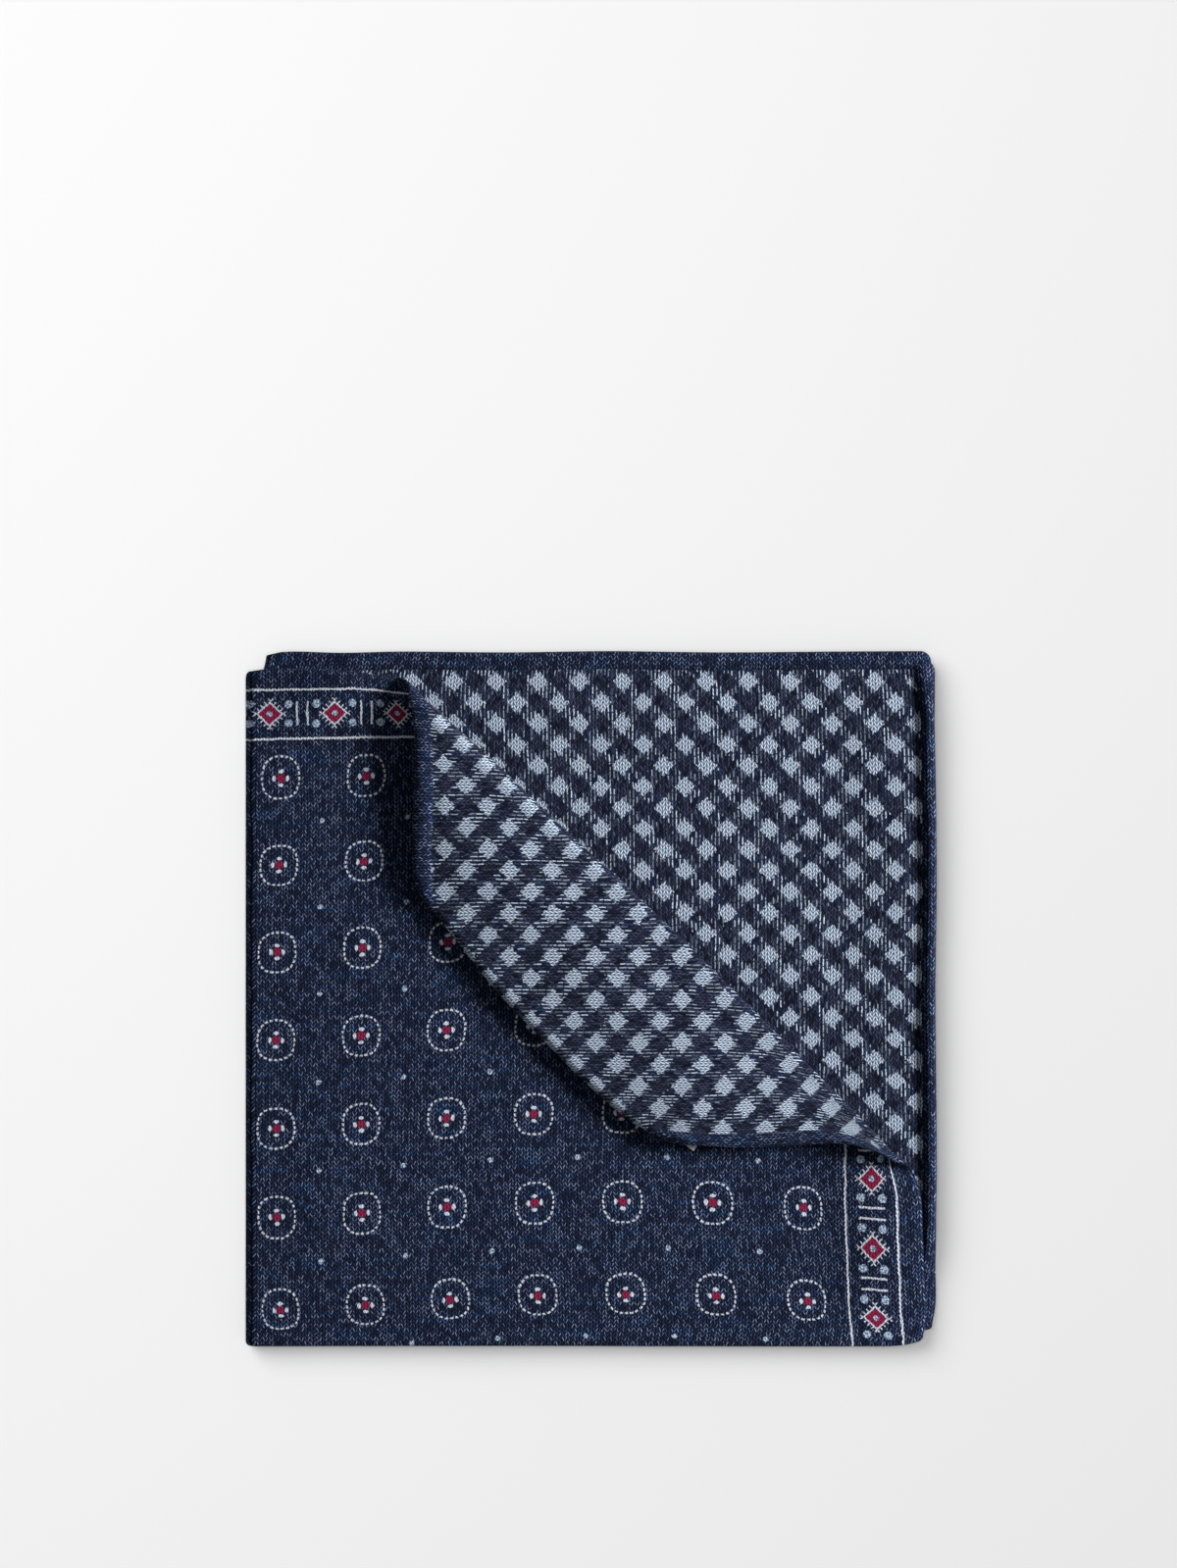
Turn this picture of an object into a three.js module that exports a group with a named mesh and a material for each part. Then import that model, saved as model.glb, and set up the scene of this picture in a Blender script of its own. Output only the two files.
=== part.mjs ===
import * as THREE from 'three';

const { clamp, lerp, smoothstep } = THREE.MathUtils;

// A square of cloth folded in quarters, its loose top corner turned back and tucked under.
// Millimetres. X runs right from the left fold, Y up from the bottom fold, Z up from the table.
// The cloth's layers are called one, on the table, to four, on top.

// The cloth laid flat
const SIDE = 330;
const HALF = SIDE / 2;
const THICK = 1;
const CORNER_ROUND = 2;

// The folds: the first brings the bottom half up behind the top half, the second brings the left half round
const LAYER_GAP = 0.4;
const PAIR_RADIUS = (THICK + LAYER_GAP) / 2;
const STACK_RADIUS = THICK + LAYER_GAP;
const STACK_HALF = STACK_RADIUS + PAIR_RADIUS + THICK / 2;
const FIRST_FOLD = 2.3;
const SECOND_FOLD = 2;
const TOP_MIDDLE = 2 * STACK_HALF - THICK / 2;

// The rolled hem's section, from the cloth's edge inwards: the print face rounds off,
// and the hem stands proud of the gingham face
const HEM = [
  { inward: 0, face: 0.1, back: -0.85 },
  { inward: 1.1, face: THICK / 2, back: -1.25 },
  { inward: 3.3, face: THICK / 2, back: -1.2 },
  { inward: 4.3, face: THICK / 2, back: -THICK / 2 },
];
const LOWER_PAIR_HEM = 0.6;
const TUCKED_HEM = 0.25;
const CREASED_HEM = 0.5;
const CREASED_OVER = 6;
const HEM_FLATTENED = 0.12;
const HEM_FADES_OVER = 26;

// Right edge of each layer, measured from the left fold, at heights up the side
const RIGHT_EDGE = [
  { up: 0, one: 165.4, two: 165.4, three: 163, four: 163 },
  { up: 6, one: 166.3, two: 166, three: 164.2, four: 163.8 },
  { up: 14, one: 166.3, two: 166.1, three: 164.4, four: 163.4 },
  { up: 23, one: 166.1, two: 166.3, three: 165.9, four: 163 },
  { up: 34, one: 165.9, two: 166.3, three: 166.2, four: 162.5 },
  { up: 42, one: 165.8, two: 166.1, three: 166.3, four: 161.9 },
  { up: 60, one: 165.6, two: 166, three: 166.2, four: 162.8 },
  { up: 85, one: 165.7, two: 165.8, three: 166, four: 162.8 },
  { up: 112, one: 165.4, two: 165.9, three: 166.3, four: 162.8 },
  { up: 140, one: 165.5, two: 165.8, three: 166, four: 162.8 },
  { up: 158, one: 165.8, two: 166, three: 165.5, four: 162.8 },
  { up: 168, one: 165.9, two: 166, three: 164.8, four: 162.8 },
];

// Top edge of each layer, measured from the bottom fold, at places along from the left fold
const TOP_EDGE = [
  { along: 0, one: 162.4, two: 166.2, three: 166.2, four: 162.4 },
  { along: 6, one: 162.6, two: 166.6, three: 167.2, four: 163.1 },
  { along: 20, one: 163, two: 166.4, three: 166.9, four: 162.9 },
  { along: 34, one: 162.8, two: 166.5, three: 167.2, four: 162.7 },
  { along: 60, one: 163.4, two: 166.1, three: 167, four: 162.8 },
  { along: 85, one: 163.8, two: 166.3, three: 167.3, four: 162.8 },
  { along: 112, one: 164.1, two: 165.8, three: 167, four: 162.8 },
  { along: 140, one: 164.8, two: 165.5, three: 167.2, four: 162.8 },
  { along: 165, one: 165.2, two: 165, three: 167.3, four: 162.8 },
];

// How far the inner fold stands in from the outer one, up the left side
const LEFT_FOLD = [
  { up: 0, outer: 0, inner: 0 },
  { up: 25, outer: 0, inner: 2.4 },
  { up: 110, outer: 0, inner: 2.4 },
  { up: 150, outer: 0, inner: 1.9 },
  { up: 160, outer: 0, inner: 2.1 },
  { up: 168, outer: 0, inner: 3.7 },
];

// How far each pair of layers stands up from the bottom line, along the bottom fold
const BOTTOM_FOLD = [
  { along: 0, upper: 0, lower: 0 },
  { along: 60, upper: 0.1, lower: 0.5 },
  { along: 110, upper: 0, lower: 1.3 },
  { along: 150, upper: 0, lower: 2.3 },
  { along: 158, upper: 0.2, lower: 2.8 },
  { along: 166, upper: 1.6, lower: 3.6 },
];

// The hems hold the layers apart near the open edges
const LIFT = { one: 0, two: 0.95, three: 0.95, four: 2.2 };
const LIFT_STARTS = 138;
const LIFT_FULL = 157;

// The turned corner: a flat fold of it would mirror the cloth in the line across + up = MIRROR_SUM
const MIRROR_SUM = 204.3;
const TUCK_RADIUS = 1.3;
const TIP_MIDDLE = 0.4 + THICK;
const TUCK_TOP = TIP_MIDDLE + 2 * TUCK_RADIUS;
const TIP_EASE = 0.88;

// The soft roll along the corner's crease, and the turned corner's reach from the mirror line
// to the outside of its tuck, at places along the crease from its middle
const ROLL = [
  { along: -88, radius: 2.2 },
  { along: -76, radius: 2.7 },
  { along: -60, radius: 2.7 },
  { along: -40, radius: 2.4 },
  { along: -18, radius: 1.8 },
  { along: 10, radius: 1.5 },
  { along: 88, radius: 1.5 },
];
const TUCK = [
  { along: -62, reach: 32.5 },
  { along: -51, reach: 35.8 },
  { along: -42, reach: 38.2 },
  { along: -33, reach: 39.4 },
  { along: -18, reach: 41.5 },
  { along: 0, reach: 42.8 },
  { along: 15, reach: 44 },
  { along: 31, reach: 44.3 },
  { along: 40, reach: 43 },
  { along: 47, reach: 40.2 },
  { along: 60, reach: 33 },
];

// How far the turned corner's two hems lie off the lines that a flat fold would give them,
// by how far the cloth has run past the start of the roll
const FLAP_HEMS = [
  { run: 0, lower: 0, left: 0 },
  { run: 3, lower: 0.3, left: 0 },
  { run: 5, lower: 1.8, left: 0 },
  { run: 9, lower: 5.7, left: 0 },
  { run: 13, lower: 7.6, left: 0 },
  { run: 16, lower: 8.3, left: -0.1 },
  { run: 21, lower: 8.1, left: -0.3 },
  { run: 27, lower: 7.5, left: -0.7 },
  { run: 34, lower: 7.3, left: -1 },
  { run: 39, lower: 7.8, left: -0.5 },
  { run: 44, lower: 8.2, left: 0.3 },
  { run: 65, lower: 5, left: 0.4 },
  { run: 90, lower: 3, left: 0.4 },
];
const HEM_DRIFT_FADES_OVER = 60;

// How far the cloth round the crease is drawn in towards the bottom left, along the crease
const CREASE_DRAWN = [
  { along: -88, inward: 2.8 },
  { along: -74, inward: 2.2 },
  { along: -58, inward: 1.4 },
  { along: -30, inward: 1 },
  { along: -12, inward: 0.4 },
  { along: 10, inward: 0.1 },
  { along: 70, inward: 0 },
  { along: 88, inward: -0.4 },
];
const CREASE_DRAWN_REACH = 8.5;

// The crease's lower end, pushed up along the side
const LOWER_END = { across: 161, up: 43, rise: 2.3, reach: 10 };

// The label's corner under the tuck's lower end
const TAB = { across: 107, up: 51.3, width: 6.4, height: 5.4, thick: 0.7, turn: -40 };
const TAB_CLEAR = 0.3;
const TAB_LIFT = { across: 107, up: 51.3, rise: 1.1, reach: 13 };

// Spacing of the net of spots that the cloth's solid is made of
const UPPER_STEP = 10.5;
const LOWER_STEP = 17;
const FOLD_STEPS = 6;
// Extra lines across the flap, by how far it has run from the roll
const FLAP_LINES = [3, 6.5, 12];
// Spots of the net nearer to a cut than this are taken to lie on it
const SNAP = 0.14;

// Value of a table's column between its rows, as a smooth curve that is level at both ends
function read(rows, place, column, at) {
  const inside = clamp(at, rows[0][place], rows[rows.length - 1][place]);
  const next = Math.max(1, rows.findIndex((row) => row[place] >= inside));
  const [low, high] = [rows[next - 1], rows[next]];
  const span = high[place] - low[place];
  const t = (inside - low[place]) / span;
  const slopes = [next - 1, next].map((i) => {
    if (i === 0 || i === rows.length - 1) return 0;
    return (rows[i + 1][column] - rows[i - 1][column]) / (rows[i + 1][place] - rows[i - 1][place]);
  });
  return lerp(low[column], high[column], t * t * (3 - 2 * t))
    + span * t * (1 - t) * (slopes[0] * (1 - t) - slopes[1] * t);
}

// A strip bent double round a half circle: run is measured along it from the fold's middle,
// out from its mid-line towards the outside of the fold
function foldDouble(run, out, radius) {
  const quarter = (radius * Math.PI) / 2;
  if (Math.abs(run) > quarter) return [Math.abs(run) - quarter, Math.sign(run) * (radius + out)];
  const turn = run / radius;
  return [-(radius + out) * Math.cos(turn), (radius + out) * Math.sin(turn)];
}

// Rounds off the corners of the flat cloth
function roundCorner(a, b) {
  const overA = Math.abs(a) - (HALF - CORNER_ROUND);
  const overB = Math.abs(b) - (HALF - CORNER_ROUND);
  if (overA <= 0 || overB <= 0) return [a, b];
  const shrink = Math.max(overA, overB) / Math.hypot(overA, overB);
  return [
    Math.sign(a) * (HALF - CORNER_ROUND + overA * shrink),
    Math.sign(b) * (HALF - CORNER_ROUND + overB * shrink),
  ];
}

function layerOf(a, b) {
  if (a > SECOND_FOLD) return b > FIRST_FOLD ? 'four' : 'three';
  return b > FIRST_FOLD ? 'one' : 'two';
}

// Distances from the two folds to the edges, for cloth that is folded without any slip
const rightIfTrue = (layer) => {
  const shift = layer === 'three' || layer === 'four' ? -SECOND_FOLD : SECOND_FOLD;
  return HALF + shift - (Math.PI * STACK_RADIUS) / 2 + STACK_HALF;
};
const topIfTrue = (layer) => {
  const shift = layer === 'one' || layer === 'four' ? -FIRST_FOLD : FIRST_FOLD;
  return HALF + shift - (Math.PI * PAIR_RADIUS) / 2 + PAIR_RADIUS + THICK / 2;
};

// Slip of a layer at a place, so that its edges lie where the tables put them
function slip(layer, x, y) {
  const across = clamp(x, 0, SIDE);
  const up = clamp(y, 0, SIDE);
  const inner = layer === 'two' || layer === 'three' ? 'inner' : 'outer';
  const pair = layer === 'three' || layer === 'four' ? 'upper' : 'lower';
  const right = read(RIGHT_EDGE, 'up', layer, up) - rightIfTrue(layer);
  const top = read(TOP_EDGE, 'along', layer, across) - topIfTrue(layer);
  const left = read(LEFT_FOLD, 'up', inner, up);
  const bottom = read(BOTTOM_FOLD, 'along', pair, across);
  return [
    lerp(left, right, clamp(across / rightIfTrue(layer), 0, 1)),
    lerp(bottom, top, clamp(up / topIfTrue(layer), 0, 1)),
  ];
}

// How far a layer is held up by the hems beneath it
function lift(layer, x, y) {
  const nearTop = smoothstep(y, LIFT_STARTS, LIFT_FULL) * smoothstep(x, 0, HEM_FADES_OVER);
  const nearRight = smoothstep(x, LIFT_STARTS, LIFT_FULL) * smoothstep(y, 0, HEM_FADES_OVER);
  return LIFT[layer] * (1 - (1 - nearTop) * (1 - nearRight));
}

// How far a place of the top layer has run, on the cloth, past the start of each stretch
// of the turned corner: the roll, the flap, the tuck and the tip
function cornerRuns(x, y) {
  const along = (x - y) / Math.SQRT2;
  const radius = read(ROLL, 'along', 'radius', along);
  const length = Math.PI * radius;
  const start = MIRROR_SUM / Math.SQRT2 - length / 2;
  const width = read(TUCK, 'along', 'reach', along) - length / 2 - TUCK_RADIUS - THICK / 2;
  const roll = (x + y) / Math.SQRT2 - start;
  const flap = roll - length;
  const tuck = flap - width;
  const tip = tuck - Math.PI * TUCK_RADIUS;
  return { along, radius, start, width, roll, flap, tuck, tip };
}

// The top layer's corner: over the roll, along the flap to the tuck, and back under itself.
// n is measured from the cloth's middle towards its print face.
function turnCorner(x, y, n) {
  const runs = cornerRuns(x, y);
  const { radius, width } = runs;
  let reach = runs.roll;
  let height = n;
  if (runs.tip > 0) {
    reach = runs.tip * TIP_EASE - width;
    height = TIP_MIDDLE + n;
  } else if (runs.tuck > 0) {
    const turn = runs.tuck / TUCK_RADIUS;
    reach = -width - (TUCK_RADIUS - n) * Math.sin(turn);
    height = TUCK_TOP - TUCK_RADIUS + (TUCK_RADIUS - n) * Math.cos(turn);
  } else if (runs.flap > 0) {
    reach = -runs.flap;
    height = lerp(2 * radius, TUCK_TOP, smoothstep(runs.flap, 0, width)) - n;
  } else if (runs.roll > 0) {
    const turn = runs.roll / radius;
    reach = (radius - n) * Math.sin(turn);
    height = radius - (radius - n) * Math.cos(turn);
  }
  const across = runs.start + reach;
  return { x: (across + runs.along) / Math.SQRT2, y: (across - runs.along) / Math.SQRT2, height };
}

// Slip of the turned corner's hems, fading out into the flap
function flapSlip(x, y, run) {
  const fromLower = clamp(1 - (rightIfTrue('four') - x) / HEM_DRIFT_FADES_OVER, 0, 1);
  const fromLeft = clamp(1 - (topIfTrue('four') - y) / HEM_DRIFT_FADES_OVER, 0, 1);
  return [
    fromLeft ** 2 * read(FLAP_HEMS, 'run', 'left', run),
    fromLower ** 2 * read(FLAP_HEMS, 'run', 'lower', run),
  ];
}

// A soft bump round a table's place: one in its middle, fading out over its reach
function bump(spot, table) {
  const away = Math.hypot(spot.x - table.across, spot.y - table.up) / table.reach;
  return Math.exp(-away * away);
}

// Place of a spot of the cloth: a and b across and up the flat cloth from its middle,
// n out from the cloth's middle towards the print face
function place(a, b, n) {
  const layer = layerOf(a, b);
  const [up, out] = foldDouble(b - FIRST_FOLD, n, PAIR_RADIUS);
  const [across, height] = foldDouble(a - SECOND_FOLD, out, STACK_RADIUS);
  const spot = new THREE.Vector3(across + STACK_HALF, up + PAIR_RADIUS + THICK / 2, height + STACK_HALF);
  if (layer !== 'four') {
    const [slipX, slipY] = slip(layer, spot.x, spot.y);
    return new THREE.Vector3(spot.x + slipX, spot.y + slipY, spot.z + lift(layer, spot.x, spot.y));
  }
  const runs = cornerRuns(spot.x, spot.y);
  const turned = runs.roll > 0;
  const corner = turnCorner(spot.x, spot.y, n);
  const flat = turned ? new THREE.Vector3(corner.x, corner.y, TOP_MIDDLE + corner.height) : spot;
  const [slipX, slipY] = slip(layer, flat.x, flat.y);
  const [hemX, hemY] = flapSlip(spot.x, spot.y, runs.roll);
  const placed = new THREE.Vector3(
    flat.x + slipX + hemX,
    flat.y + slipY + hemY,
    flat.z + lift(layer, flat.x, flat.y),
  );
  const beyond = (flat.x + flat.y - MIRROR_SUM) / Math.SQRT2 / CREASE_DRAWN_REACH;
  const drawn = read(CREASE_DRAWN, 'along', 'inward', runs.along) * Math.exp(-beyond * beyond);
  placed.x -= drawn / Math.SQRT2;
  placed.y -= drawn / Math.SQRT2;
  placed.y += LOWER_END.rise * bump(flat, LOWER_END);
  if (runs.flap > 0) {
    placed.z += TAB_LIFT.rise * bump(placed, TAB_LIFT);
  }
  return placed;
}

// How full the hem stands at a spot: it is pressed flat at the folds, in the lower pair and under the tuck
function hemFullness(a, b) {
  const besideSide = HALF - Math.abs(a) < HALF - Math.abs(b);
  const fromFold = besideSide ? Math.abs(b - FIRST_FOLD) : Math.abs(a - SECOND_FOLD);
  const pair = lerp(LOWER_PAIR_HEM, 1, smoothstep(a - SECOND_FOLD, -THICK, THICK));
  const fade = lerp(HEM_FLATTENED, 1, smoothstep(fromFold, 0, HEM_FADES_OVER));
  const runs = runsAt(a, b);
  const inTip = layerOf(a, b) === 'four' ? smoothstep(runs.tip, -Math.PI * TUCK_RADIUS, 2) : 0;
  const overCrease = smoothstep(runs.roll, -CREASED_OVER, 0) * (1 - smoothstep(runs.flap, 0, CREASED_OVER));
  const creased = layerOf(a, b) === 'four' ? overCrease : 0;
  return pair * fade * lerp(1, TUCKED_HEM, inTip) * lerp(1, CREASED_HEM, creased);
}

// The turned corner's stretches at a spot of the cloth, as if it lay in the top layer
function runsAt(a, b) {
  const x = a - SECOND_FOLD - (Math.PI * STACK_RADIUS) / 2 + STACK_HALF;
  const y = b - FIRST_FOLD - (Math.PI * PAIR_RADIUS) / 2 + PAIR_RADIUS + THICK / 2;
  return cornerRuns(x, y);
}

// Both faces of the cloth at a spot
function facesAt(a, b) {
  const inward = HALF - Math.max(Math.abs(a), Math.abs(b));
  const next = HEM.findIndex((row) => row.inward >= inward - 1e-6);
  let face = THICK / 2;
  let back = -THICK / 2;
  if (next === 0) {
    ({ face, back } = HEM[0]);
  } else if (next > 0) {
    const t = (inward - HEM[next - 1].inward) / (HEM[next].inward - HEM[next - 1].inward);
    face = lerp(HEM[next - 1].face, HEM[next].face, t);
    back = lerp(HEM[next - 1].back, HEM[next].back, t);
  }
  const roll = (back + THICK / 2) * hemFullness(a, b);
  const [roundA, roundB] = roundCorner(a, b);
  return { face: place(roundA, roundB, face), back: place(roundA, roundB, roll - THICK / 2) };
}

// Lines of the net along one side of the cloth: close at the hems and round the fold
function netLines(fold, foldRadius, lowStep, highStep) {
  const hem = HEM.map((row) => HALF - row.inward);
  const bend = (foldRadius * Math.PI) / 2;
  const field = (from, to, step) => {
    const count = Math.round((to - from) / step);
    return Array.from({ length: count - 1 }, (_, i) => lerp(from, to, (i + 1) / count));
  };
  const inner = hem[hem.length - 1];
  const round = Array.from({ length: FOLD_STEPS + 1 }, (_, i) => fold + bend * ((2 * i) / FOLD_STEPS - 1));
  return [
    ...hem.map((line) => -line),
    ...field(-inner, fold - bend, lowStep),
    ...round,
    ...field(fold + bend, inner, highStep),
    ...hem.toReversed(),
  ];
}

// The flat net: spots are places on the cloth, patches are rings of spot numbers, anticlockwise
function layNet(linesA, linesB) {
  const spots = linesB.flatMap((b) => linesA.map((a) => [a, b]));
  const patches = [];
  for (let row = 1; row < linesB.length; row += 1) {
    for (let column = 1; column < linesA.length; column += 1) {
      const far = row * linesA.length + column;
      const near = far - linesA.length;
      patches.push([near - 1, near, far, far - 1]);
    }
  }
  return { spots, patches };
}

// Cuts the patches along the line where measure(a, b) is nought; spots that nearly lie on it are used as they are
function cutNet(net, measure) {
  const values = net.spots.map(([a, b]) => {
    const value = measure(a, b);
    return Math.abs(value) < SNAP ? 0 : value;
  });
  const crossings = new Map();
  const crossing = (i, j) => {
    const key = `${Math.min(i, j)} ${Math.max(i, j)}`;
    if (!crossings.has(key)) {
      const t = values[i] / (values[i] - values[j]);
      const spot = [0, 1].map((k) => lerp(net.spots[i][k], net.spots[j][k], t));
      crossings.set(key, net.spots.push(spot) - 1);
      values.push(0);
    }
    return crossings.get(key);
  };
  net.patches = net.patches.flatMap((ring) => {
    const isCut = ring.some((i) => values[i] > 0) && ring.some((i) => values[i] < 0);
    if (!isCut) return [ring];
    const full = ring.flatMap((i, k) => {
      const j = ring[(k + 1) % ring.length];
      return values[i] * values[j] < 0 ? [i, crossing(i, j)] : [i];
    });
    return [full.filter((i) => values[i] >= 0), full.filter((i) => values[i] <= 0)];
  });
}

// Best split of a ring into triangles: the one whose thinnest triangle is the roundest
function splitRing(net, ring) {
  if (ring.length < 3) return { worst: Infinity, triangles: [] };
  let best = { worst: -Infinity, triangles: [] };
  for (let k = 1; k < ring.length - 1; k += 1) {
    const triangle = [ring[0], ring[k], ring[ring.length - 1]];
    const before = splitRing(net, ring.slice(0, k + 1));
    const after = splitRing(net, ring.slice(k));
    const worst = Math.min(roundness(net, triangle), before.worst, after.worst);
    if (worst > best.worst) {
      best = { worst, triangles: [triangle, ...before.triangles, ...after.triangles] };
    }
  }
  return best;
}

function roundness(net, triangle) {
  const [p, q, r] = triangle.map((i) => net.spots[i]);
  const area = (q[0] - p[0]) * (r[1] - p[1]) - (q[1] - p[1]) * (r[0] - p[0]);
  const sides = [[p, q], [q, r], [r, p]].map(([s, t]) => Math.hypot(t[0] - s[0], t[1] - s[1]));
  return area / Math.max(...sides) ** 2;
}

// Puts extra lines in the net along the turned corner's roll, flap and tuck
function creaseNet(net) {
  const cut = (measure) => cutNet(net, (a, b) => {
    const onTop = a > SECOND_FOLD + 2 * STACK_RADIUS && b > FIRST_FOLD + 2 * PAIR_RADIUS;
    return onTop ? measure(runsAt(a, b)) : -HALF;
  });
  for (let i = 0; i <= FOLD_STEPS; i += 1) {
    const t = i / FOLD_STEPS;
    cut((runs) => runs.roll - Math.PI * runs.radius * t);
    cut((runs) => runs.tuck - Math.PI * TUCK_RADIUS * t);
  }
  FLAP_LINES.forEach((line) => cut((runs) => runs.flap - line));
}

// The flat net's outer ring of spots, anticlockwise
function outerRing(triangles) {
  const nextOf = new Map();
  const known = new Set(triangles.flatMap(([i, j, k]) => [`${i} ${j}`, `${j} ${k}`, `${k} ${i}`]));
  for (const [i, j, k] of triangles) {
    for (const [from, to] of [[i, j], [j, k], [k, i]]) {
      if (!known.has(`${to} ${from}`)) nextOf.set(from, to);
    }
  }
  const ring = [nextOf.keys().next().value];
  while (nextOf.get(ring[ring.length - 1]) !== ring[0]) ring.push(nextOf.get(ring[ring.length - 1]));
  return ring;
}

// One closed solid: the print face, the gingham face and the edge between them
function clothGeometry() {
  const net = layNet(
    netLines(SECOND_FOLD, STACK_RADIUS, LOWER_STEP, UPPER_STEP),
    netLines(FIRST_FOLD, PAIR_RADIUS, UPPER_STEP, UPPER_STEP),
  );
  creaseNet(net);
  const triangles = net.patches.flatMap((ring) => splitRing(net, ring).triangles);
  const faces = net.spots.map(([a, b]) => facesAt(a, b));
  const backs = net.spots.length;
  const positions = [...faces.map(({ face }) => face), ...faces.map(({ back }) => back)];
  const index = triangles.flatMap(([i, j, k]) => [i, j, k, backs + i, backs + k, backs + j]);
  const ring = outerRing(triangles);
  ring.forEach((i, k) => {
    const j = ring[(k + 1) % ring.length];
    index.push(i, backs + i, j, j, backs + i, backs + j);
  });
  const geometry = new THREE.BufferGeometry().setFromPoints(positions);
  geometry.setIndex(index);
  geometry.computeVertexNormals();
  return geometry;
}

const cloth = new THREE.Mesh(
  clothGeometry(),
  new THREE.MeshStandardMaterial({ color: 0x1f2740, roughness: 0.9, metalness: 0 }),
);
cloth.name = 'pocket_square';

const tab = new THREE.Mesh(
  new THREE.BoxGeometry(TAB.width, TAB.height, TAB.thick),
  new THREE.MeshStandardMaterial({ color: 0xf2efef, roughness: 0.6, metalness: 0 }),
);
tab.name = 'label_tab';
tab.position.set(TAB.across, TAB.up, TOP_MIDDLE + THICK / 2 + TAB_CLEAR + TAB.thick / 2);
tab.rotation.z = THREE.MathUtils.degToRad(TAB.turn);

// The part's origin is under the middle of its outline, on the table
const outline = new THREE.Box3().setFromObject(cloth);
const pocketSquare = new THREE.Group();
pocketSquare.add(cloth, tab);
pocketSquare.position.set(
  -(outline.min.x + outline.max.x) / 2,
  -(outline.min.y + outline.max.y) / 2,
  -outline.min.z,
);

export default pocketSquare;
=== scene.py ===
# %% [markdown]
# # A folded pocket square
# The real thing is one square of cloth with two good faces. One face is navy with printed rounds and a
# border, the other is a gingham that runs on the bias. It is folded in quarters, and the loose corner of its
# top layer is turned back and tucked under, so both faces show.
# This lesson makes the whole cloth as one flat slab first and then bends every point of it round the folds.
# That keeps it one piece of cloth, and its patterns can be laid out flat, as a mill lays them.

# %% Load the model that this cloth has to fit
import math
import bmesh
import bpy
from mathutils import Matrix, Vector, noise


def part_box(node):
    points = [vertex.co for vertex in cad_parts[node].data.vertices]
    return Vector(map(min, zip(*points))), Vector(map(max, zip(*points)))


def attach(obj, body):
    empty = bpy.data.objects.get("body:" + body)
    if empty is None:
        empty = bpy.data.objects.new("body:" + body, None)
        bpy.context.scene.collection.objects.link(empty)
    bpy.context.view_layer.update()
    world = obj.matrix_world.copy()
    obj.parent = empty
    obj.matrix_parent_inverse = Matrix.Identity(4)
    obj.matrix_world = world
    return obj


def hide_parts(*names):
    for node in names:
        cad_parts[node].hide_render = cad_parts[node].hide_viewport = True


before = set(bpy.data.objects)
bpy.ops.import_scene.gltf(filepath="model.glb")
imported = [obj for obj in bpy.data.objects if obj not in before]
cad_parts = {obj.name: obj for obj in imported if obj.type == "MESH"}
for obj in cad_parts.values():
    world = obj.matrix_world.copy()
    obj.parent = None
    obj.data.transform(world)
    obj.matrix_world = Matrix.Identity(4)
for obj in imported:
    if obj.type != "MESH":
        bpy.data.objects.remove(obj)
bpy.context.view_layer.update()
low, high = [Vector(corner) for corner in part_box("pocket_square")]
print("model box, mm:", [round(1000 * (high[k] - low[k]), 1) for k in range(3)])

# %% [markdown]
# ## Units
# The sizes of a small cloth are easiest to read in millimetres, and Blender works in metres. The cloth gets
# its own frame: across from its left fold, up from its bottom fold, and height above the table.

# %% From the cloth's own millimetres to the scene's metres
MM = 0.001
BELOW_FOLD_LINE = 0.03
corner = Vector((low.x / MM, low.y / MM + BELOW_FOLD_LINE, low.z / MM))


def in_scene(across, up, height):
    return (Vector((across, up, height)) + corner) * MM


print("left end of the bottom fold, m:", [round(v, 4) for v in in_scene(0, 0, 0)])

# %% [markdown]
# ## Camera
# The camera looks straight down, as over a table in a studio. A long lens from more than a metre away keeps
# the edges of the folds upright, so no wall of the stack is seen. The frame is 1200 by 1599 dots, and each
# dot covers 0.236 mm of cloth.

# %% Camera
FRAME_DOTS = (1200, 1599)
DOT = 0.236
FOLD_CORNER_DOT = (250, 1373)
CAMERA_HEIGHT = 1150
CLOTH_HEIGHT = 4
SENSOR_WIDTH = 36

frame_height = FRAME_DOTS[1] * DOT
middle_across = (FRAME_DOTS[0] / 2 - FOLD_CORNER_DOT[0]) * DOT
middle_up = (FOLD_CORNER_DOT[1] - FRAME_DOTS[1] / 2) * DOT

camera_data = bpy.data.cameras.new("camera")
camera_data.sensor_width = SENSOR_WIDTH
camera_data.lens = SENSOR_WIDTH * CAMERA_HEIGHT / frame_height
camera = bpy.data.objects.new("camera", camera_data)
camera.location = in_scene(middle_across, middle_up, CLOTH_HEIGHT + CAMERA_HEIGHT)
bpy.context.scene.collection.objects.link(camera)
bpy.context.scene.camera = camera
print("lens, mm:", round(camera_data.lens, 1))

# %% [markdown]
# ## Table and light
# The table is a plain pale board under a pale sky. A low light from the right rakes over the cloth, as the
# window of a studio does, and gives the soft dark beside the turned corner and the relief of the hems. A
# second light washes the board from the upper left, and gives the soft shade to the right of the stack and
# below it. A third hangs over the board and brightens it. Each lamp is linked to what it is there for, so
# that none undoes the shade of another.

# %% Table
TABLE_HALF = 3
BELOW_CLOTH = 0.0002
table_mesh = bmesh.new()
bmesh.ops.create_grid(table_mesh, x_segments=1, y_segments=1, size=TABLE_HALF)
bmesh.ops.translate(table_mesh, verts=table_mesh.verts, vec=(0, 0, low.z - BELOW_CLOTH))
table_data = bpy.data.meshes.new("table")
table_mesh.to_mesh(table_data)
table_mesh.free()
table = bpy.data.objects.new("table", table_data)
bpy.context.scene.collection.objects.link(table)

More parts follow.
